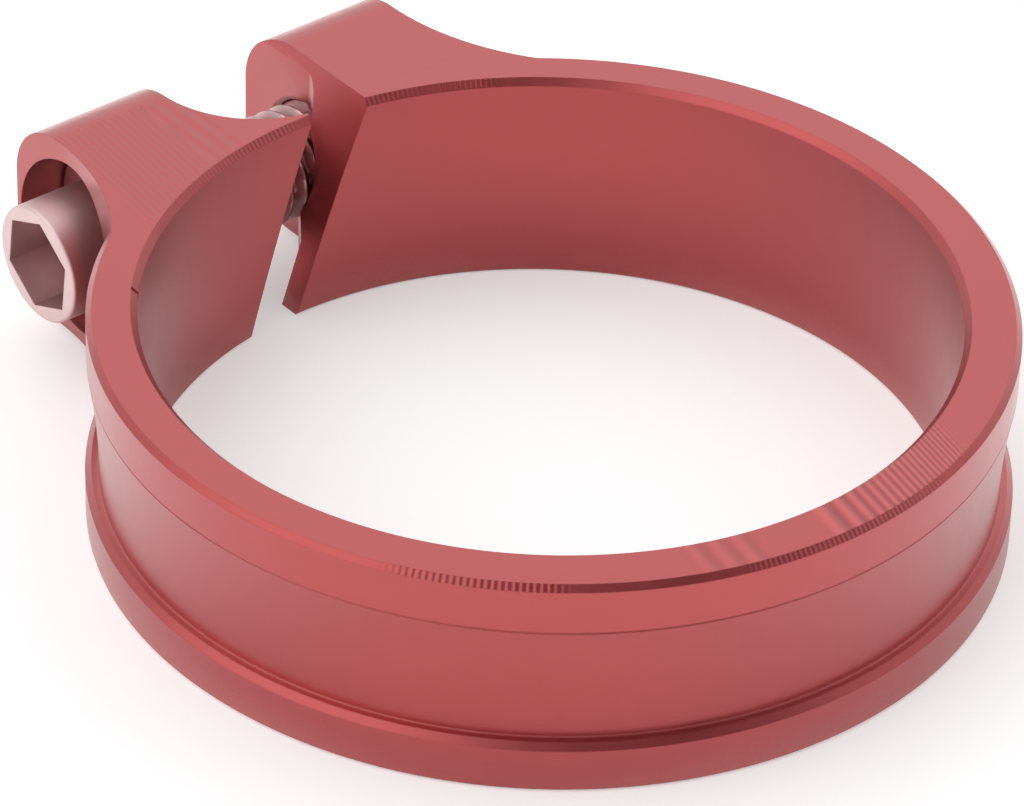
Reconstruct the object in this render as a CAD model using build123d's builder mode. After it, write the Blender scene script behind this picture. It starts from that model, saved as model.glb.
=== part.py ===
"""Split-ring seatpost clamp: a turned and milled body with a slanted slot, and one socket-head bolt.

Millimetres. The origin is on the bore axis at the bottom face, +Z runs up the bore, +Y points to the
slot and the two ears, and the bolt lies along X with its head at -X.
"""
from build123d import *
from math import radians, tan
import os

# Ring
tube_diameter = 34.9
clamp_height = 10.25
band_wall = 2.3
rim_offset = 0.2
band_height = 2.3
waist_depth = 0.45
lip_height = 2.35
lip_fillet = 0.4
lip_ledge = 0.05
lip_chamfer = 0.15
rim_chamfer = 0.26
bore_chamfer = 0.3
base_break = 0.15

# Ears and the open gap between them
ear_span = 18.6
ear_cover = 4.45
ear_base = 0.5
ear_round = 3.1
ear_blend = 12.0
gap_width = 6.8
gap_radius = 5.36
gap_shoulder = 1.7
gap_root = 1.15
gap_step = 1.0
gap_ramp = 0.95
gap_floor = 2.58
gap_fillet = 1.25

# Slanted slot through the ring wall
slot_width = 2.65
slot_tilt = 19.7
slot_shift = 0.35

# Bolt and the holes that it sits in
thread_diameter = 5.0
bolt_length = 15.0
bolt_standoff = 4.0
bolt_height = 5.25
head_diameter = 5.5
head_length = 4.3
head_chamfer = 0.15
flange_diameter = 8.2
flange_thickness = 0.8
tip_chamfer = 0.5
hex_across_flats = 4.0
hex_turn = 22.8
hex_depth = 2.6
counterbore_depth = 3.0
counterbore_clearance = 0.1
shank_clearance = 0.25
thread_clearance = 0.05
thread_lead = 0.2
seat_clearance = 0.02

# Radii and places that follow from the sizes above
tube_radius = tube_diameter / 2
band_radius = tube_radius + band_wall
waist_radius = band_radius - waist_depth
ledge_radius = waist_radius + lip_fillet
lip_radius = ledge_radius + lip_ledge + lip_chamfer
bolt_y = tube_radius + bolt_standoff
ear_face_y = bolt_y + ear_cover
seat_x = -ear_span / 2 + counterbore_depth
head_back_x = seat_x - seat_clearance
gap_shoulder_y = bolt_y + gap_shoulder
gap_root_y = tube_radius + gap_root
gap_floor_y = tube_radius + gap_floor
counterbore_radius = flange_diameter / 2 + counterbore_clearance
thread_radius = thread_diameter / 2
cut_reach = ear_face_y + ear_span

os.makedirs("parts", exist_ok=True)

with BuildPart() as clamp_body:
    # Both ears as one block, blended into the waist of the ring by a large fillet on each side
    with BuildSketch(Plane.XY.offset(ear_base)):
        with Locations((0, -rim_offset)):
            Circle(waist_radius - waist_depth / 8)
        with Locations((0, ear_face_y / 2)):
            Rectangle(ear_span, ear_face_y)
        roots = vertices().filter_by(lambda v: abs(abs(v.X) - ear_span / 2) < 1e-4)
        fillet(roots.sort_by(Axis.Y)[:2], ear_blend)
    extrude(amount=clamp_height - ear_base)
    long_edges = edges().filter_by(Axis.X).group_by(Axis.Y)[-1]
    fillet(long_edges, ear_round)

    # Turned ring: lip at the bottom, scooped waist, plain band and chamfered rim
    with BuildSketch(Plane.XZ.offset(rim_offset)):
        with BuildLine():
            waist_foot = (waist_radius, lip_height + lip_fillet)
            band_foot = (band_radius, clamp_height - band_height)
            Polyline(
                (0, 0),
                (lip_radius - base_break, 0),
                (lip_radius, base_break),
                (lip_radius, lip_height - lip_chamfer),
                (lip_radius - lip_chamfer, lip_height),
                (ledge_radius, lip_height),
            )
            RadiusArc((ledge_radius, lip_height), waist_foot, lip_fillet)
            TangentArc(waist_foot, band_foot, tangent=(0, 1))
            Polyline(
                band_foot,
                (band_radius, clamp_height - rim_chamfer),
                (band_radius - rim_chamfer, clamp_height),
                (0, clamp_height),
                (0, 0),
            )
        make_face()
    revolve(axis=Axis((0, -rim_offset, 0), (0, 0, 1)))

    # Bore with a chamfer at each mouth
    with BuildSketch(Plane.XZ):
        with BuildLine():
            Polyline(
                (0, 0),
                (tube_radius + base_break, 0),
                (tube_radius, base_break),
                (tube_radius, clamp_height - bore_chamfer),
                (tube_radius + bore_chamfer, clamp_height),
                (0, clamp_height),
                close=True,
            )
        make_face()
    revolve(axis=Axis.Z, mode=Mode.SUBTRACT)

    # Gap at the head ear: a long sweep that leaves a pointed tip at the slot
    slot_place = Location((slot_shift, ear_face_y / 2, clamp_height / 2), (0, slot_tilt, 0))
    with BuildPart(mode=Mode.SUBTRACT):
        with BuildSketch(Plane.XY):
            with Locations((gap_radius - gap_width / 2, gap_shoulder_y)):
                Circle(gap_radius)
            with Locations((0, gap_shoulder_y)):
                Rectangle(gap_width, cut_reach, align=(Align.CENTER, Align.MIN))
        extrude(amount=clamp_height)
        with Locations(slot_place):
            Box(
                cut_reach,
                3 * cut_reach,
                3 * cut_reach,
                align=(Align.MAX, Align.CENTER, Align.CENTER),
                mode=Mode.INTERSECT,
            )

    # Gap at the tapped ear: a square pocket with a ramp down to the ring wall beside the slot
    with BuildPart(mode=Mode.SUBTRACT):
        with BuildSketch(Plane.XY):
            with BuildLine():
                Polyline(
                    (-cut_reach, gap_root_y),
                    (gap_step, gap_root_y),
                    (gap_step + gap_ramp, gap_floor_y),
                    (gap_width / 2, gap_floor_y),
                    (gap_width / 2, gap_floor_y + cut_reach),
                    (-cut_reach, gap_floor_y + cut_reach),
                    close=True,
                )
            make_face()
            corner = vertices().filter_by(lambda v: v.X > gap_width / 2 - 1e-4).sort_by(Axis.Y)[0]
            fillet(corner, gap_fillet)
        extrude(amount=clamp_height)
        with Locations(slot_place):
            Box(
                cut_reach,
                3 * cut_reach,
                3 * cut_reach,
                align=(Align.MIN, Align.CENTER, Align.CENTER),
                mode=Mode.INTERSECT,
            )

    # Slanted slot through what is left of the ring wall
    with Locations(slot_place):
        Box(slot_width, ear_face_y, 2 * clamp_height, mode=Mode.SUBTRACT)

    # Counterbore, clearance hole in the head ear and tapped hole in the other
    with Locations(Location((seat_x, bolt_y, bolt_height), (0, 90, 0))):
        Cylinder(
            counterbore_radius,
            cut_reach,
            align=(Align.CENTER, Align.CENTER, Align.MAX),
            mode=Mode.SUBTRACT,
        )
    with Locations(Location((0, bolt_y, bolt_height), (0, 90, 0))):
        Cylinder(
            thread_radius + shank_clearance,
            ear_span,
            align=(Align.CENTER, Align.CENTER, Align.MAX),
            mode=Mode.SUBTRACT,
        )
        Cylinder(
            thread_radius + thread_clearance,
            ear_span,
            align=(Align.CENTER, Align.CENTER, Align.MIN),
            mode=Mode.SUBTRACT,
        )
    with Locations(Location((gap_width / 2, bolt_y, bolt_height), (0, 90, 0))):
        Cone(
            thread_radius + thread_clearance + thread_lead,
            thread_radius + thread_clearance,
            thread_lead,
            align=(Align.CENTER, Align.CENTER, Align.MIN),
            mode=Mode.SUBTRACT,
        )
clamp_body.part.label = "clamp_body"
export_step(clamp_body.part, "parts/clamp_body.step")

with BuildPart() as clamp_bolt:
    # Head, flange and shank turned about the bolt axis
    bolt_axis = Axis((0, bolt_y, bolt_height), (1, 0, 0))
    flange_front_x = head_back_x - flange_thickness
    head_front_x = flange_front_x - head_length
    tip_x = head_back_x + bolt_length
    with BuildSketch(Plane((0, bolt_y, bolt_height), x_dir=(1, 0, 0), z_dir=(0, -1, 0))):
        with BuildLine():
            Polyline(
                (head_front_x, 0),
                (head_front_x, head_diameter / 2 - head_chamfer),
                (head_front_x + head_chamfer, head_diameter / 2),
                (flange_front_x, head_diameter / 2),
                (flange_front_x, flange_diameter / 2 - head_chamfer),
                (flange_front_x + head_chamfer, flange_diameter / 2),
                (head_back_x, flange_diameter / 2),
                (head_back_x, thread_radius),
                (tip_x - tip_chamfer, thread_radius),
                (tip_x, thread_radius - tip_chamfer),
                (tip_x, 0),
                close=True,
            )
        make_face()
    revolve(axis=bolt_axis)

    # Hexagon socket with a drilled point at its floor
    socket_plane = Plane((head_front_x, bolt_y, bolt_height), x_dir=(0, 1, 0), z_dir=(-1, 0, 0))
    with BuildSketch(socket_plane):
        RegularPolygon(hex_across_flats / 2, 6, major_radius=False, rotation=hex_turn)
    extrude(amount=-hex_depth, mode=Mode.SUBTRACT)
    drill_radius = hex_across_flats / 2
    drill_point = drill_radius * tan(radians(30))
    with Locations(Location((head_front_x + hex_depth, bolt_y, bolt_height), (0, 90, 0))):
        Cone(
            drill_radius,
            0,
            drill_point,
            align=(Align.CENTER, Align.CENTER, Align.MIN),
            mode=Mode.SUBTRACT,
        )
clamp_bolt.part.label = "clamp_bolt"
export_step(clamp_bolt.part, "parts/clamp_bolt.step")
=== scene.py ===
"""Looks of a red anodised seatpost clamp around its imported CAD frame. Metres, in the CAD's own frame."""
import math

import bmesh
import bpy
from mathutils import Matrix, Vector


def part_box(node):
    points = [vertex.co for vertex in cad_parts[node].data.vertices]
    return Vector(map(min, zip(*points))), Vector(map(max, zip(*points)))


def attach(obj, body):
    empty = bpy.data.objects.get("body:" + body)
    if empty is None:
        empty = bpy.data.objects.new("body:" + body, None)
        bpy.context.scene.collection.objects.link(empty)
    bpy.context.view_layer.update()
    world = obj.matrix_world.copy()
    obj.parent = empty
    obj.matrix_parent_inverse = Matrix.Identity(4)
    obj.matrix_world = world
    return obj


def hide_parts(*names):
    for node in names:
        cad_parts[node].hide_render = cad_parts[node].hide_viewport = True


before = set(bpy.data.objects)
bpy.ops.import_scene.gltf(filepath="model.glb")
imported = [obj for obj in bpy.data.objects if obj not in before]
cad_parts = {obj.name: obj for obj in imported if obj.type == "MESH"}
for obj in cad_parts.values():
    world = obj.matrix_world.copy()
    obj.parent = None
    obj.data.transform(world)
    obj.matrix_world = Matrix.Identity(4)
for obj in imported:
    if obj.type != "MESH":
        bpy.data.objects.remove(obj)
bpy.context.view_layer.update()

# Clamp body: a split ring with two ears, turned and milled from one aluminium bar, then anodised red.
# The ring is turned with a lip at its foot, a scooped waist and a chamfered rim, and the ears grow out
# of its wall through wide blends. Sizes are in millimetres and meshes are scaled to metres.
MM = 0.001
CLAMP_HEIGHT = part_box("clamp_body")[1][2] / MM
TUBE_RADIUS = 17.45
BAND_RADIUS = 19.75
RIM_OFFSET = 0.2
BAND_HEIGHT = 2.3
WAIST_RADIUS = 19.3
LIP_RADIUS = 19.9
LIP_HEIGHT = 2.35
LIP_FILLET = 0.06
LIP_CHAMFER = 0.28
CREASE_DEPTH = 0.04
CREASE_WIDTH = 0.05
RIM_CHAMFER = 0.26
BORE_CHAMFER = 0.3
BASE_BREAK = 0.15
RING_STEPS = 720

EAR_SPAN = 18.6
EAR_FACE = 25.9
EAR_BASE = 0.5
EAR_ROUND = 3.1
EAR_BLEND = 12.0
EAR_SINK = 0.004
EAR_ROOT_RADIUS = 19.24
EAR_INNER_RADIUS = 18.5

GAP_WIDTH = 6.8
GAP_RADIUS = 5.36
GAP_SHOULDER = 23.15
GAP_ROOT = 18.6
GAP_STEP = 1.0
GAP_RAMP = 0.95
GAP_FLOOR = 20.03
GAP_FILLET = 1.25
SLOT_WIDTH = 2.65
SLOT_TILT = math.radians(19.7)
SLOT_SHIFT = 0.35

BOLT_Y = 21.45
BOLT_HEIGHT = 5.25
COUNTERBORE_RADIUS = 4.2
SEAT_X = -6.3
CLEARANCE_RADIUS = 2.75
TAPPED_RADIUS = 2.55
TAPPED_LEAD = 0.2
HOLE_STEPS = 160
NICK_TURN = math.radians(139.2)
NICK_DEPTH = 0.42
NICK_FOOT = 0.22
NICK_MOUTH = 0.42
NICK_HALF_WIDTH = 0.11
NICK_SPARE = 0.5
REACH = 12.0


def mesh_object(name, points, faces):
    mesh = bpy.data.meshes.new(name)
    mesh.from_pydata([Vector(point) * MM for point in points], [], faces)
    shape = bmesh.new()
    shape.from_mesh(mesh)
    bmesh.ops.remove_doubles(shape, verts=shape.verts, dist=1e-8)
    bmesh.ops.recalc_face_normals(shape, faces=shape.faces)
    shape.to_mesh(mesh)
    shape.free()
    thing = bpy.data.objects.new(name, mesh)
    bpy.context.scene.collection.objects.link(thing)
    return thing


def arc(centre, radius, start, end, steps):
    turns = [start + (end - start) * k / steps for k in range(steps + 1)]
    return [(centre[0] + radius * math.cos(t), centre[1] + radius * math.sin(t)) for t in turns]


def prism(name, outline, low, high, place):
    count = len(outline)
    points = [place(a, b, low) for a, b in outline] + [place(a, b, high) for a, b in outline]
    faces = [(k, (k + 1) % count, (k + 1) % count + count, k + count) for k in range(count)]
    faces.append(tuple(range(count)))
    faces.append(tuple(range(count, 2 * count)))
    return mesh_object(name, points, faces)


def combine(target, tool, operation):
    modifier = target.modifiers.new("combine", "BOOLEAN")
    modifier.operation = operation
    modifier.solver = "EXACT"
    modifier.object = tool
    graph = bpy.context.evaluated_depsgraph_get()
    result = bpy.data.meshes.new_from_object(target.evaluated_get(graph))
    target.modifiers.clear()
    target.data = result
    bpy.data.objects.remove(tool)


def shade(thing, limit):
    thing.data.shade_smooth()
    thing.data.set_sharp_from_angle(angle=math.radians(limit))
    weighted = thing.modifiers.new("even_normals", "WEIGHTED_NORMAL")
    weighted.keep_sharp = True


def ring_wall():
    """Outer and inner wall of the ring as (radius, height, centre) down the outside and up the bore."""
    rim = [(BAND_RADIUS - RIM_CHAMFER, CLAMP_HEIGHT), (BAND_RADIUS, CLAMP_HEIGHT - RIM_CHAMFER)]
    band_foot = CLAMP_HEIGHT - BAND_HEIGHT
    waist_foot = LIP_HEIGHT + LIP_FILLET
    scoop = BAND_RADIUS - WAIST_RADIUS
    scoop_radius = ((band_foot - waist_foot) ** 2 + scoop ** 2) / (2 * scoop)
    scoop_turn = math.asin((band_foot - waist_foot) / scoop_radius)
    waist = arc((WAIST_RADIUS + scoop_radius, waist_foot), scoop_radius, math.pi - scoop_turn, math.pi, 24)
    fillet = arc((WAIST_RADIUS + LIP_FILLET, waist_foot), LIP_FILLET, math.pi, 1.5 * math.pi, 6)
    lip = [
        (LIP_RADIUS - LIP_CHAMFER, LIP_HEIGHT),
        (LIP_RADIUS, LIP_HEIGHT - LIP_CHAMFER),
        (LIP_RADIUS, BASE_BREAK),
        (LIP_RADIUS - BASE_BREAK, 0),
    ]
    bore = [
        (TUBE_RADIUS + BASE_BREAK, 0),
        (TUBE_RADIUS, BASE_BREAK),
        (TUBE_RADIUS, CLAMP_HEIGHT - BORE_CHAMFER),
        (TUBE_RADIUS + BORE_CHAMFER, CLAMP_HEIGHT),
    ]
    crease = [
        (BAND_RADIUS, band_foot + CREASE_WIDTH),
        (BAND_RADIUS - CREASE_DEPTH, band_foot),
        (BAND_RADIUS - CREASE_WIDTH * math.tan(scoop_turn), band_foot - CREASE_WIDTH),
    ]
    outside = [(r, z, -RIM_OFFSET) for r, z in rim + crease + waist[1:] + fillet[1:] + lip]
    return outside + [(r, z, 0) for r, z in bore]


def ring():
    wall = ring_wall()
    count = len(wall)
    points = []
    faces = []
    for step in range(RING_STEPS):
        turn = 2 * math.pi * step / RING_STEPS
        following = (step + 1) % RING_STEPS
        for index, (radius, height, centre) in enumerate(wall):
            points.append((radius * math.cos(turn), centre + radius * math.sin(turn), height))
            onward = (index + 1) % count
            faces.append((step * count + index, following * count + index,
                          following * count + onward, step * count + onward))
    return mesh_object("clamp_body_detailed", points, faces)


def ear_block():
    """Both ears as one block: a rounded bar along the bolt, trimmed by their outline from above."""
    top = CLAMP_HEIGHT - EAR_SINK
    edge = EAR_FACE - EAR_ROUND
    inner_side = EAR_INNER_RADIUS - 5
    side = [(inner_side, EAR_BASE), (inner_side, top)]
    side += arc((edge, top - EAR_ROUND), EAR_ROUND, math.pi / 2, 0, 32)
    side += arc((edge, EAR_BASE + EAR_ROUND), EAR_ROUND, 0, -math.pi / 2, 32)
    block = prism("ear_block", side, -EAR_SPAN, EAR_SPAN, lambda y, z, x: (x, y, z))
    half = EAR_SPAN / 2
    blend_x = half + EAR_BLEND
    reach = EAR_ROOT_RADIUS + EAR_BLEND
    rise = math.sqrt(reach ** 2 - blend_x ** 2)
    blend_y = rise - RIM_OFFSET
    lean = math.atan2(rise, blend_x)
    right = arc((blend_x, blend_y), EAR_BLEND, math.pi + lean, math.pi, 48)
    left = [(-x, y) for x, y in reversed(right)]
    root = math.atan2(right[0][1], right[0][0])
    inner = arc((0, 0), EAR_INNER_RADIUS, math.pi - root, root, 96)
    outline = right + [(half, 2 * EAR_FACE), (-half, 2 * EAR_FACE)] + left + inner
    trim = prism("ear_outline", outline, -1, CLAMP_HEIGHT + 1, lambda x, y, z: (x, y, z))
    combine(block, trim, "INTERSECT")
    return block


def slot_side(name, low, high):
    """A slanted slab along the slot, from one place across it to another."""
    section = [(low, -REACH), (high, -REACH), (high, REACH), (low, REACH)]
    tip = Matrix.Rotation(SLOT_TILT, 3, "Y")
    middle = Vector((SLOT_SHIFT, 0, CLAMP_HEIGHT / 2))
    return prism(name, section, 0, 2 * EAR_FACE, lambda x, z, y: middle + tip @ Vector((x, y, z)))


def head_gap():
    half = GAP_WIDTH / 2
    sweep = arc((GAP_RADIUS - half, GAP_SHOULDER), GAP_RADIUS, math.pi, 2 * math.pi, 96)
    outline = [(-half, 1.5 * EAR_FACE)] + sweep + [(REACH, GAP_SHOULDER), (REACH, 1.5 * EAR_FACE)]
    tool = prism("head_gap", outline, -1, CLAMP_HEIGHT + 1, lambda x, y, z: (x, y, z))
    combine(tool, slot_side("head_side", -REACH, 0), "INTERSECT")
    return tool


def tapped_gap():
    half = GAP_WIDTH / 2
    corner = arc((half - GAP_FILLET, GAP_FLOOR + GAP_FILLET), GAP_FILLET, -math.pi / 2, 0, 24)
    outline = [(-REACH, GAP_ROOT), (GAP_STEP, GAP_ROOT), (GAP_STEP + GAP_RAMP, GAP_FLOOR)] + corner
    outline += [(half, 1.5 * EAR_FACE), (-REACH, 1.5 * EAR_FACE)]
    tool = prism("tapped_gap", outline, -1, CLAMP_HEIGHT + 1, lambda x, y, z: (x, y, z))
    combine(tool, slot_side("tapped_side", 0, REACH), "INTERSECT")
    return tool


def bolt_lathe(name, profile, steps):
    """A solid of revolution about the bolt axis from (place along X, radius) pairs."""
    points = []
    faces = []
    count = len(profile)
    for step in range(steps):
        turn = 2 * math.pi * step / steps
        following = (step + 1) % steps
        for index, (x, radius) in enumerate(profile):
            points.append((x, BOLT_Y + radius * math.cos(turn), BOLT_HEIGHT + radius * math.sin(turn)))
            if index + 1 < count:
                faces.append((step * count + index, following * count + index,
                              following * count + index + 1, step * count + index + 1))
    faces.append(tuple(step * count for step in range(steps)))
    faces.append(tuple(step * count + count - 1 for step in range(steps)))
    return mesh_object(name, points, faces)


body = ring()
combine(body, ear_block(), "UNION")
combine(body, head_gap(), "DIFFERENCE")
combine(body, tapped_gap(), "DIFFERENCE")
combine(body, slot_side("slot", -SLOT_WIDTH / 2, SLOT_WIDTH / 2), "DIFFERENCE")
head_side = [(-2 * REACH, COUNTERBORE_RADIUS), (SEAT_X, COUNTERBORE_RADIUS),
             (SEAT_X, CLEARANCE_RADIUS), (0, CLEARANCE_RADIUS)]
combine(body, bolt_lathe("head_holes", head_side, HOLE_STEPS), "DIFFERENCE")
pocket = GAP_WIDTH / 2
tip_side = [(0, TAPPED_RADIUS), (pocket, TAPPED_RADIUS), (pocket, TAPPED_RADIUS + TAPPED_LEAD),
            (pocket + TAPPED_LEAD, TAPPED_RADIUS), (2 * REACH, TAPPED_RADIUS)]
combine(body, bolt_lathe("tapped_hole", tip_side, HOLE_STEPS), "DIFFERENCE")
nick_low = CLAMP_HEIGHT - NICK_DEPTH
nick_high = CLAMP_HEIGHT + NICK_SPARE
nick = [(TUBE_RADIUS - NICK_SPARE, nick_low), (TUBE_RADIUS + NICK_FOOT, nick_low),
        (TUBE_RADIUS + NICK_MOUTH, nick_high), (TUBE_RADIUS - NICK_SPARE, nick_high)]
there = Matrix.Rotation(NICK_TURN, 3, "Z")
nick_tool = prism("nick", nick, -NICK_HALF_WIDTH, NICK_HALF_WIDTH,
                  lambda r, z, a: there @ Vector((r, a, z)))
combine(body, nick_tool, "DIFFERENCE")
shade(body, 20)
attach(body, "clamp")
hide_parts("clamp_body")


def new_material(name):
    material = bpy.data.materials.new(name)
    material.use_nodes = True
    tree = material.node_tree
    tree.nodes.clear()
    output = tree.nodes.new("ShaderNodeOutputMaterial")
    shader = tree.nodes.new("ShaderNodeBsdfPrincipled")
    tree.links.new(shader.outputs["BSDF"], output.inputs["Surface"])
    return material, tree, shader


def new_group(name, inputs, outputs):
    tree = bpy.data.node_groups.new(name, "ShaderNodeTree")
    for label in inputs:
        tree.interface.new_socket(label, in_out="INPUT", socket_type="NodeSocketFloat")
    for label in outputs:
        tree.interface.new_socket(label, in_out="OUTPUT", socket_type="NodeSocketFloat")
    return tree, tree.nodes.new("NodeGroupInput").outputs, tree.nodes.new("NodeGroupOutput").inputs


def fill(tree, socket, value):
    if isinstance(value, bpy.types.NodeSocket):
        tree.links.new(value, socket)
    else:
        socket.default_value = value


def use_group(tree, group, **values):
    node = tree.nodes.new("ShaderNodeGroup")
    node.node_tree = group
    for label, value in values.items():
        fill(tree, node.inputs[label], value)
    return node.outputs


def number(tree, operation, *values):
    node = tree.nodes.new("ShaderNodeMath")
    node.operation = operation
    for socket, value in zip(node.inputs, values):
        fill(tree, socket, value)
    return node.outputs[0]


def ramp(tree, value, start, end, low, high):
    node = tree.nodes.new("ShaderNodeMapRange")
    node.interpolation_type = "SMOOTHSTEP"
    levels = {"Value": value, "From Min": start, "From Max": end, "To Min": low, "To Max": high}
    for label, level in levels.items():
        fill(tree, node.inputs[label], level)
    return node.outputs[0]


def window(tree, value, low, high, soft):
    """One between two limits, fading to nothing over a soft edge outside them."""
    rise = ramp(tree, value, low - soft, low, 0, 1)
    fall = ramp(tree, value, high, high + soft, 1, 0)
    return number(tree, "MULTIPLY", rise, fall)


def noise(tree, dimensions, place, scale, detail):
    node = tree.nodes.new("ShaderNodeTexNoise")
    node.noise_dimensions = dimensions
    fill(tree, node.inputs["W" if dimensions == "1D" else "Vector"], place)
    node.inputs["Scale"].default_value = scale
    node.inputs["Detail"].default_value = detail
    return node.outputs[0]


def places_group():
    """Millimetre places on the clamp, with the radius and turn about the ring's outer wall and its bore."""
    tree, _, out = new_group("clamp_places", [], ["X", "Y", "Z", "Radius", "Turn", "Bore Radius"])
    own = tree.nodes.new("ShaderNodeTexCoord")
    scale = tree.nodes.new("ShaderNodeVectorMath")
    scale.operation = "SCALE"
    scale.inputs["Scale"].default_value = 1 / MM
    tree.links.new(own.outputs["Object"], scale.inputs[0])
    split = tree.nodes.new("ShaderNodeSeparateXYZ")
    tree.links.new(scale.outputs[0], split.inputs[0])
    x, y, z = split.outputs
    across = number(tree, "ADD", y, RIM_OFFSET)
    xx = number(tree, "MULTIPLY", x, x)
    fill(tree, out["X"], x)
    fill(tree, out["Y"], y)
    fill(tree, out["Z"], z)
    fill(tree, out["Radius"], number(tree, "SQRT", number(tree, "MULTIPLY_ADD", across, across, xx)))
    fill(tree, out["Turn"], number(tree, "ARCTAN2", across, x))
    fill(tree, out["Bore Radius"], number(tree, "SQRT", number(tree, "MULTIPLY_ADD", y, y, xx)))
    return tree


TURNED_SCALE = 9.0
TURNED_HEIGHT = 0.0012
TOOTH_HEIGHT = 0.011
TOOTH_FADE = math.radians(5)
TOOTH_SLACK = 0.005
RIPPLE_HEIGHT = 0.04
RIDGE_PITCH = 0.335
RIDGE_BROAD_PITCH = 0.75
RIDGE_HEIGHT = 0.018
TOP_SLACK = 0.01
EDGE_SOFT = 0.09
DYE_DARK = (0.45, 0.058, 0.060, 1)
DYE_LIGHT = (0.49, 0.068, 0.070, 1)
CREST_PAINTED_HIGHLIGHT = (0.62, 0.105, 0.105, 1)
VALLEY_PAINTED_SHADE = (0.29, 0.030, 0.031, 1)
RECESS_PAINTED_LIGHT = (0.78, 0.30, 0.30, 1)


def turned_group():
    """Fine tool lines that run round the ring, as a height in millimetres."""
    tree, given, out = new_group("turned_lines", ["Radius", "Z"], ["Height"])
    along = number(tree, "ADD", given["Radius"], given["Z"])
    lines = noise(tree, "1D", along, TURNED_SCALE, 2.0)
    fill(tree, out["Height"], number(tree, "MULTIPLY", lines, TURNED_HEIGHT))
    return tree


def chatter_group():
    """Teeth that the cutter left on the outer rim's chamfer and on the bore's chamfer beside the slot."""
    tree, given, out = new_group("edge_chatter", ["Radius", "Bore Radius", "Turn", "Z"], ["Height"])
    turn = given["Turn"]
    top = number(tree, "GREATER_THAN", given["Z"], CLAMP_HEIGHT - RIM_CHAMFER - TOP_SLACK)
    rim = number(tree, "GREATER_THAN", given["Radius"], BAND_RADIUS - RIM_CHAMFER - TOOTH_SLACK)
    mouth = number(tree, "LESS_THAN", given["Bore Radius"], TUBE_RADIUS + BORE_CHAMFER + TOOTH_SLACK)
    runs = ((rim, 440, -146, -131), (rim, 535, -103, -78), (mouth, 480, 94, 122), (mouth, 480, 62, 78))
    total = 0.0
    for edge, teeth_in_turn, first, last in runs:
        teeth = number(tree, "SINE", number(tree, "MULTIPLY", turn, teeth_in_turn))
        reach = window(tree, turn, math.radians(first), math.radians(last), TOOTH_FADE)
        run = number(tree, "MULTIPLY", number(tree, "MULTIPLY", teeth, reach), edge)
        total = number(tree, "ADD", total, run)
    fill(tree, out["Height"], number(tree, "MULTIPLY", number(tree, "MULTIPLY", total, top), TOOTH_HEIGHT))
    return tree


def ripple_group():
    """Milling ripples across the rim, wide at first and finer towards one end, with crest and valley masks
    for their painted highlight and shade.
    """
    tree, given, out = new_group("rim_ripples", ["X", "Y", "Z"], ["Height", "Crest", "Valley"])
    top = number(tree, "GREATER_THAN", given["Z"], CLAMP_HEIGHT - TOP_SLACK)
    near = number(tree, "LESS_THAN", given["Y"], -10.0)
    slant = number(tree, "MULTIPLY", number(tree, "ADD", given["Y"], 18.0), -0.21)
    along = number(tree, "MULTIPLY_ADD", given["X"], 0.98, slant)
    pace = number(tree, "MULTIPLY_ADD", along, 0.27, 1.18)
    waves = number(tree, "MULTIPLY", pace, along)
    fine = number(tree, "SINE", number(tree, "MULTIPLY", waves, 2 * math.pi))
    growth = number(tree, "MULTIPLY_ADD", along, 0.54, 1.3)
    fine = number(tree, "MULTIPLY", fine, window(tree, along, -0.6, 6.2, 0.8))
    broad = number(tree, "SINE", number(tree, "MULTIPLY", along, 2 * math.pi))
    broad = number(tree, "MULTIPLY", broad, window(tree, along, -6.6, -4.4, 0.8))
    there = number(tree, "MULTIPLY", top, near)
    both = number(tree, "MULTIPLY_ADD", broad, 0.5, number(tree, "DIVIDE", fine, growth))
    low = number(tree, "MULTIPLY", number(tree, "MULTIPLY_ADD", broad, 0.5, fine), there)
    height = number(tree, "MULTIPLY", both, there)
    fill(tree, out["Height"], number(tree, "MULTIPLY", height, RIPPLE_HEIGHT))
    fill(tree, out["Crest"], number(tree, "MAXIMUM", low, 0.0))
    fill(tree, out["Valley"], number(tree, "MAXIMUM", number(tree, "MULTIPLY", low, -1.0), 0.0))
    return tree


def ridge_group():
    """Parallel milling ridges on top of the ear that holds the bolt's head."""
    tree, given, out = new_group("ear_ridges", ["X", "Y", "Z"], ["Height"])
    top = number(tree, "GREATER_THAN", given["Z"], CLAMP_HEIGHT - TOP_SLACK)
    ear = window(tree, given["Y"], 15.5, 22.6, 0.3)
    along = number(tree, "MULTIPLY_ADD", number(tree, "SUBTRACT", given["Y"], 19.0), -0.1, given["X"])
    fine = number(tree, "SINE", number(tree, "MULTIPLY", along, 2 * math.pi / RIDGE_PITCH))
    fine = number(tree, "MULTIPLY", fine, window(tree, along, -9.0, -5.2, 0.8))
    broad = number(tree, "SINE", number(tree, "MULTIPLY", given["X"], 2 * math.pi / RIDGE_BROAD_PITCH))
    broad = number(tree, "MULTIPLY", broad, window(tree, given["X"], -4.6, -3.0, 0.4))
    both = number(tree, "MULTIPLY_ADD", broad, 1.6, fine)
    there = number(tree, "MULTIPLY", top, ear)
    fill(tree, out["Height"], number(tree, "MULTIPLY", number(tree, "MULTIPLY", both, there), RIDGE_HEIGHT))
    return tree


def blend_colour(tree, factor, first, second):
    node = tree.nodes.new("ShaderNodeMix")
    node.data_type = "RGBA"
    fill(tree, node.inputs[0], factor)
    fill(tree, node.inputs[6], first)
    fill(tree, node.inputs[7], second)
    return node.outputs[2]


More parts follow.
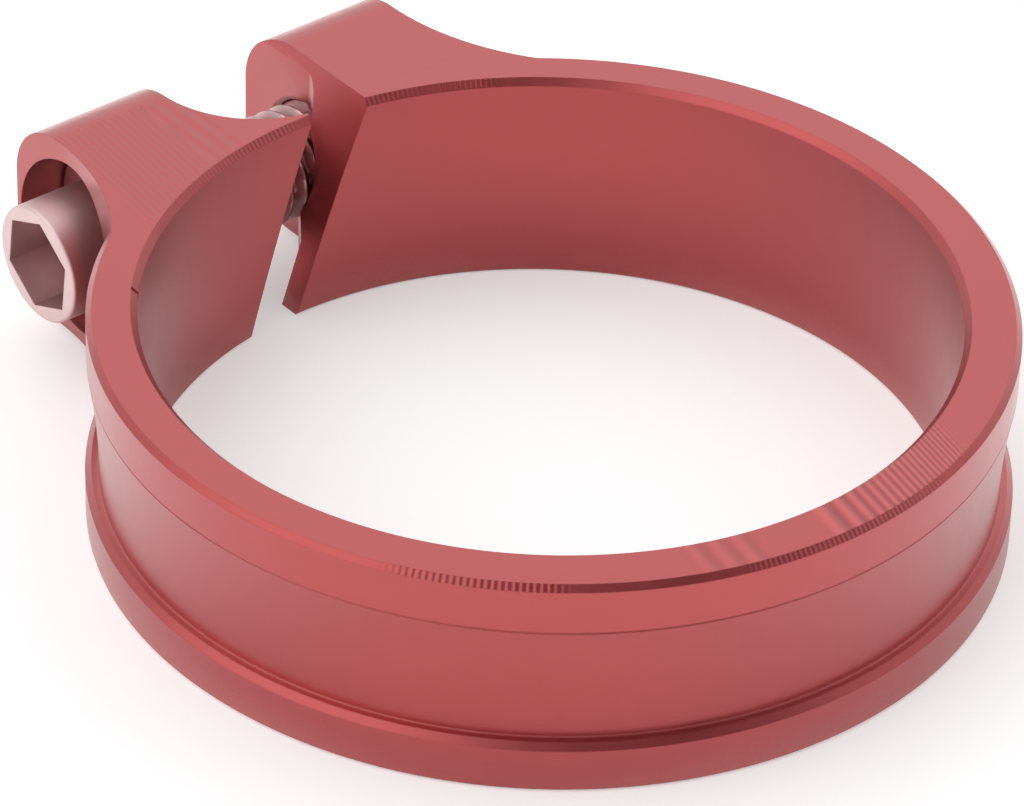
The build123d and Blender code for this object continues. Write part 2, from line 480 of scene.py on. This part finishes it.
def tool_bump(tree, shader, height, edge):
    bevel = tree.nodes.new("ShaderNodeBevel")
    bevel.samples = 2
    bevel.inputs["Radius"].default_value = edge * MM
    bump = tree.nodes.new("ShaderNodeBump")
    bump.inputs["Distance"].default_value = MM
    fill(tree, bump.inputs["Height"], height)
    fill(tree, bump.inputs["Normal"], bevel.outputs[0])
    fill(tree, shader.inputs["Normal"], bump.outputs[0])


def anodised_red():
    material, tree, shader = new_material("anodised_red")
    here = use_group(tree, places_group())

    def marks(group, *labels):
        return use_group(tree, group, **{label: here[label] for label in labels})

    ripples = marks(ripple_group(), "X", "Y", "Z")
    height = marks(turned_group(), "Radius", "Z")["Height"]
    teeth = marks(chatter_group(), "Radius", "Bore Radius", "Turn", "Z")
    ridges = marks(ridge_group(), "X", "Y", "Z")
    for more in (teeth, ripples, ridges):
        height = number(tree, "ADD", height, more["Height"])
    tool_bump(tree, shader, height, EDGE_SOFT)
    own = tree.nodes.new("ShaderNodeTexCoord")
    cloud = noise(tree, "3D", own.outputs["Object"], 900.0, 3.0)
    # A random red tone, with painted highlight, shade and light blended over it below.
    dye_and_painted_light = blend_colour(tree, cloud, DYE_DARK, DYE_LIGHT)
    # Painted highlight on the ripples' crests and painted shade in their valleys.
    dye_and_painted_light = blend_colour(tree, number(tree, "MULTIPLY", ripples["Crest"], 0.75), dye_and_painted_light, CREST_PAINTED_HIGHLIGHT)
    dye_and_painted_light = blend_colour(tree, number(tree, "MULTIPLY", ripples["Valley"], 0.75), dye_and_painted_light, VALLEY_PAINTED_SHADE)
    # Painted light: a lighter red where ambient occlusion finds a recess, to lift its shade.
    hollow = tree.nodes.new("ShaderNodeAmbientOcclusion")
    hollow.samples = 4
    hollow.inputs["Distance"].default_value = 4 * MM
    recess_painted_light = ramp(tree, hollow.outputs["AO"], 0.2, 0.6, 1, 0)
    dye_and_painted_light = blend_colour(tree, recess_painted_light, dye_and_painted_light, RECESS_PAINTED_LIGHT)
    fill(tree, shader.inputs["Base Color"], dye_and_painted_light)
    fill(tree, shader.inputs["Roughness"], ramp(tree, cloud, 0.2, 0.8, 0.33, 0.39))
    shader.inputs["Metallic"].default_value = 0.85
    shader.inputs["Coat Weight"].default_value = 1.0
    shader.inputs["Coat IOR"].default_value = 1.42
    shader.inputs["Coat Roughness"].default_value = 0.3
    return material


body.data.materials.clear()
body.data.materials.append(anodised_red())

# Bolt: a steel socket-head screw with a flange under its head, turned bright and thread-rolled.
# Its hexagon socket is broached over a drilled point, and the thread runs to the flange.
HEAD_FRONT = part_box("clamp_bolt")[0][0] / MM
BOLT_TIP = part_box("clamp_bolt")[1][0] / MM
HEAD_RADIUS = 2.75
HEAD_EDGE = 0.15
FLANGE_RADIUS = 4.1
FLANGE_BACK = -6.32
FLANGE_FRONT = -7.12
THREAD_RADIUS = 2.5
THREAD_PITCH = 0.8
THREAD_DEPTH = 0.43
THREAD_START = -5.6
TIP_CHAMFER = 0.5
HEX_RADIUS = 2.0 / math.cos(math.pi / 6)
HEX_TURN = math.radians(-22.8)
HEX_DEPTH = 2.6
DRILL_RADIUS = 1.9
DRILL_POINT = 1.1
DRILL_TIP = 0.05
DRILL_LEAD = 0.5
BOLT_STEPS = 96
THREAD_ROWS = 18
THREAD_CREST = 0.12
THREAD_FLANK = 0.7
ZONE_SLACK = 0.02
BOLT_LINE_SCALE = 14.0
STEEL_DARK = (0.72, 0.53, 0.53, 1)
STEEL_LIGHT = (0.80, 0.61, 0.61, 1)
STEEL_FLANGE_PAINTED_SHADE = (0.40, 0.20, 0.20, 1)
STEEL_SHADED = (0.36, 0.15, 0.15, 1)


def thread_cut(x, turn):
    """How deep the thread groove is at a place along the bolt and a turn about it."""
    phase = (x / THREAD_PITCH - turn / (2 * math.pi)) % 1
    flank = abs(2 * phase - 1)
    depth = min(1, max(0, (flank - THREAD_CREST) / THREAD_FLANK)) * THREAD_DEPTH
    fade_in = min(1, max(0, (x - THREAD_START) / THREAD_PITCH))
    return depth * fade_in


def bolt_mesh():
    edge = arc((HEAD_FRONT + HEAD_EDGE, HEAD_RADIUS - HEAD_EDGE), HEAD_EDGE, math.pi, math.pi / 2, 6)
    rows = [(HEAD_FRONT, 0.0)] + edge
    rows += [(FLANGE_FRONT, HEAD_RADIUS)]
    rows += arc((FLANGE_FRONT + HEAD_EDGE, FLANGE_RADIUS - HEAD_EDGE), HEAD_EDGE, math.pi, math.pi / 2, 6)
    rows += [(FLANGE_BACK, FLANGE_RADIUS), (FLANGE_BACK, THREAD_RADIUS)]
    turned = len(rows)
    row_count = int((BOLT_TIP - FLANGE_BACK) / THREAD_PITCH * THREAD_ROWS)
    for row in range(1, row_count + 1):
        x = FLANGE_BACK + (BOLT_TIP - FLANGE_BACK) * row / row_count
        rows.append((x, min(THREAD_RADIUS, THREAD_RADIUS - TIP_CHAMFER + BOLT_TIP - x)))
    count = len(rows)
    points = []
    faces = []
    for step in range(BOLT_STEPS):
        turn = 2 * math.pi * step / BOLT_STEPS
        following = (step + 1) % BOLT_STEPS
        for index, (x, radius) in enumerate(rows):
            if index >= turned:
                radius = min(radius, THREAD_RADIUS - thread_cut(x, turn))
            points.append((x, BOLT_Y + radius * math.cos(turn), BOLT_HEIGHT + radius * math.sin(turn)))
            if index + 1 < count:
                faces.append((step * count + index, following * count + index,
                              following * count + index + 1, step * count + index + 1))
    faces.append(tuple(step * count + count - 1 for step in range(BOLT_STEPS)))
    return mesh_object("clamp_bolt_detailed", points, faces)


def socket_tool():
    corners = [(HEX_RADIUS * math.cos(HEX_TURN + k * math.pi / 3),
                HEX_RADIUS * math.sin(HEX_TURN + k * math.pi / 3)) for k in range(6)]
    return prism("socket_tool", corners, HEAD_FRONT - 1, HEAD_FRONT + HEX_DEPTH,
                 lambda a, b, x: (x, BOLT_Y + a, BOLT_HEIGHT + b))


bolt = bolt_mesh()
combine(bolt, socket_tool(), "DIFFERENCE")
socket_floor = HEAD_FRONT + HEX_DEPTH
drill = [(socket_floor - DRILL_LEAD, DRILL_RADIUS), (socket_floor, DRILL_RADIUS),
         (socket_floor + DRILL_POINT, DRILL_TIP)]
combine(bolt, bolt_lathe("drill_point", drill, 48), "DIFFERENCE")
shade(bolt, 28)
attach(bolt, "bolt")
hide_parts("clamp_bolt")


def bolt_group():
    """Masks for the bolt's threaded shank, its flange and the inside of its socket."""
    tree, _, out = new_group("bolt_zones", [], ["Along", "Shank", "Flange", "Socket"])
    own = tree.nodes.new("ShaderNodeTexCoord")
    shift = tree.nodes.new("ShaderNodeVectorMath")
    shift.operation = "MULTIPLY_ADD"
    shift.inputs[1].default_value = (1 / MM, 1 / MM, 1 / MM)
    shift.inputs[2].default_value = (0, -BOLT_Y, -BOLT_HEIGHT)
    tree.links.new(own.outputs["Object"], shift.inputs[0])
    split = tree.nodes.new("ShaderNodeSeparateXYZ")
    tree.links.new(shift.outputs[0], split.inputs[0])
    x, y, z = split.outputs
    radius = number(tree, "SQRT", number(tree, "MULTIPLY_ADD", y, y, number(tree, "MULTIPLY", z, z)))
    ahead = number(tree, "LESS_THAN", x, FLANGE_FRONT - ZONE_SLACK)
    inside = number(tree, "MULTIPLY", number(tree, "GREATER_THAN", x, HEAD_FRONT + ZONE_SLACK), ahead)
    narrow = number(tree, "LESS_THAN", radius, HEX_RADIUS + ZONE_SLACK)
    fill(tree, out["Along"], x)
    fill(tree, out["Shank"], number(tree, "GREATER_THAN", x, FLANGE_BACK - ZONE_SLACK))
    fill(tree, out["Flange"], number(tree, "GREATER_THAN", radius, HEAD_RADIUS + ZONE_SLACK))
    fill(tree, out["Socket"], number(tree, "MULTIPLY", inside, narrow))
    return tree


def bolt_steel():
    material, tree, shader = new_material("bolt_steel")
    zones = use_group(tree, bolt_group())
    lines = noise(tree, "1D", zones["Along"], BOLT_LINE_SCALE, 2.0)
    tool_bump(tree, shader, number(tree, "MULTIPLY", lines, TURNED_HEIGHT), EDGE_SOFT)
    own = tree.nodes.new("ShaderNodeTexCoord")
    cloud = noise(tree, "3D", own.outputs["Object"], 1200.0, 3.0)
    steel = blend_colour(tree, cloud, STEEL_DARK, STEEL_LIGHT)
    # Painted shade: the flange under the head gets a darker steel colour.
    steel = blend_colour(tree, zones["Flange"], steel, STEEL_FLANGE_PAINTED_SHADE)
    hollow = tree.nodes.new("ShaderNodeAmbientOcclusion")
    hollow.samples = 4
    hollow.inputs["Distance"].default_value = 3 * MM
    open_sky = number(tree, "MULTIPLY_ADD", zones["Shank"], -0.35, hollow.outputs["AO"])
    open_sky = ramp(tree, open_sky, 0.05, 0.7, 0, 1)
    sheltered = number(tree, "MAXIMUM", zones["Flange"], zones["Socket"])
    sheltered = number(tree, "MAXIMUM", zones["Shank"], sheltered)
    open_sky = number(tree, "MAXIMUM", open_sky, number(tree, "SUBTRACT", 1.0, sheltered))
    steel = blend_colour(tree, open_sky, STEEL_SHADED, steel)
    fill(tree, shader.inputs["Base Color"], steel)
    fill(tree, shader.inputs["Roughness"], number(tree, "MULTIPLY_ADD", zones["Shank"], -0.16, 0.46))
    shader.inputs["Metallic"].default_value = 1.0
    return material


bolt.data.materials.clear()
bolt.data.materials.append(bolt_steel())

# Floor: a plain pale sheet of matt board that the clamp stands on, not fixed to it.
# It looks a little brighter to the eye and in reflections than the studio lights it, and its
# reflection darkens close to the clamp.
FLOOR_SIZE = 4.0
FLOOR_DROP = 0.02 * MM
FLOOR_SEEN = 0.36
FLOOR_MIRRORED = 0.43
FLOOR_SHADE_REACH = 9 * MM
FLOOR_SHADE_POWER = 1.6

bpy.ops.mesh.primitive_plane_add(size=FLOOR_SIZE, location=(0, 0, -FLOOR_DROP))
floor = bpy.context.object
floor.name = "floor"


def floor_white():
    material = bpy.data.materials.new("floor_white")
    material.use_nodes = True
    tree = material.node_tree
    tree.nodes.clear()
    output = tree.nodes.new("ShaderNodeOutputMaterial")
    add = tree.nodes.new("ShaderNodeAddShader")
    diffuse = tree.nodes.new("ShaderNodeBsdfDiffuse")
    diffuse.inputs["Color"].default_value = (0.86, 0.87, 0.87, 1)
    glow = tree.nodes.new("ShaderNodeEmission")
    path = tree.nodes.new("ShaderNodeLightPath")
    shadow = tree.nodes.new("ShaderNodeAmbientOcclusion")
    shadow.samples = 4
    shadow.inputs["Distance"].default_value = FLOOR_SHADE_REACH
    near = number(tree, "POWER", shadow.outputs["AO"], FLOOR_SHADE_POWER)
    mirrored = number(tree, "MULTIPLY", near, FLOOR_MIRRORED)
    mirrored = number(tree, "MULTIPLY", path.outputs["Is Glossy Ray"], mirrored)
    straight = number(tree, "MAXIMUM", path.outputs["Is Camera Ray"], path.outputs["Is Transmission Ray"])
    fill(tree, glow.inputs["Strength"], number(tree, "MULTIPLY_ADD", straight, FLOOR_SEEN, mirrored))
    tree.links.new(diffuse.outputs[0], add.inputs[0])
    tree.links.new(glow.outputs[0], add.inputs[1])
    tree.links.new(add.outputs[0], output.inputs["Surface"])
    return material


floor.data.materials.append(floor_white())

# Camera: a long lens at the photograph's angle, its focal length set for a frame 1024 pixels wide.
# Its turn, tilt and roll are about the bore's axis, and it looks at a point inside the ring.
VIEW_TURN = math.radians(40.08)
VIEW_TILT = math.radians(35.44)
VIEW_ROLL = math.radians(1.64)
VIEW_DISTANCE = 260 * MM
AIM_ASIDE = -1.542 * MM
AIM_HEIGHT = 4.999 * MM
FOCAL_PIXELS = 6088.8
IMAGE_WIDTH = 1024

turn = Matrix.Rotation(-VIEW_TURN, 3, "Z")
right = turn @ Vector((1, 0, 0))
ahead = turn @ Vector((0, math.cos(VIEW_TILT), -math.sin(VIEW_TILT)))
up = right.cross(ahead)
rolled_right = math.cos(VIEW_ROLL) * right + math.sin(VIEW_ROLL) * up
rolled_up = math.cos(VIEW_ROLL) * up - math.sin(VIEW_ROLL) * right
aim = turn @ Vector((AIM_ASIDE, 0, AIM_HEIGHT))
lens = bpy.data.cameras.new("camera")
lens.sensor_fit = "HORIZONTAL"
lens.sensor_width = 36
lens.lens = FOCAL_PIXELS / IMAGE_WIDTH * lens.sensor_width
lens.clip_start = 0.01
camera = bpy.data.objects.new("camera", lens)
bpy.context.scene.collection.objects.link(camera)
pose = Matrix((rolled_right, rolled_up, -ahead)).transposed().to_4x4()
pose.translation = aim - VIEW_DISTANCE * ahead
camera.matrix_world = pose
bpy.context.scene.camera = camera

# Studio: a white room that lights the clamp evenly from all sides.
# It has a darker zone above the camera, a soft box high at the back and a smaller one at the left,
# and their ways are given from the camera: right, ahead and up.
ROOM_LEVEL = 0.95
DARK_LEVEL = 0.2
DARK_WAY = (0.33, -0.5, 0.80)
BACK_BOX_LEVEL = 0.5
BACK_BOX_WAY = (0, 0.5, 0.866)
SIDE_BOX_LEVEL = 0.9
SIDE_BOX_WAY = (-0.65, -0.3, 0.7)


def patch(tree, place, way, edge, middle, outside, inside):
    """A soft round patch of the room about one way from the clamp."""
    toward = tree.nodes.new("ShaderNodeVectorMath")
    toward.operation = "DOT_PRODUCT"
    toward.inputs[1].default_value = turn @ Vector(way)
    tree.links.new(place, toward.inputs[0])
    return ramp(tree, toward.outputs["Value"], edge, middle, outside, inside)


world = bpy.data.worlds.new("studio")
bpy.context.scene.world = world
world.use_nodes = True
tree = world.node_tree
tree.nodes.clear()
output = tree.nodes.new("ShaderNodeOutputWorld")
background = tree.nodes.new("ShaderNodeBackground")
tree.links.new(background.outputs[0], output.inputs["Surface"])
place = tree.nodes.new("ShaderNodeTexCoord").outputs["Generated"]
room = patch(tree, place, DARK_WAY, 0.78, 0.95, ROOM_LEVEL, DARK_LEVEL)
back_box = patch(tree, place, BACK_BOX_WAY, 0.5, 0.95, 0.0, BACK_BOX_LEVEL)
side_box = patch(tree, place, SIDE_BOX_WAY, 0.78, 0.97, 0.0, SIDE_BOX_LEVEL)
total = number(tree, "ADD", room, number(tree, "ADD", back_box, side_box))
path = tree.nodes.new("ShaderNodeLightPath")
seen = number(tree, "MAXIMUM", total, path.outputs["Is Camera Ray"])
fill(tree, background.inputs["Strength"], seen)

bpy.context.scene.view_settings.view_transform = "Standard"
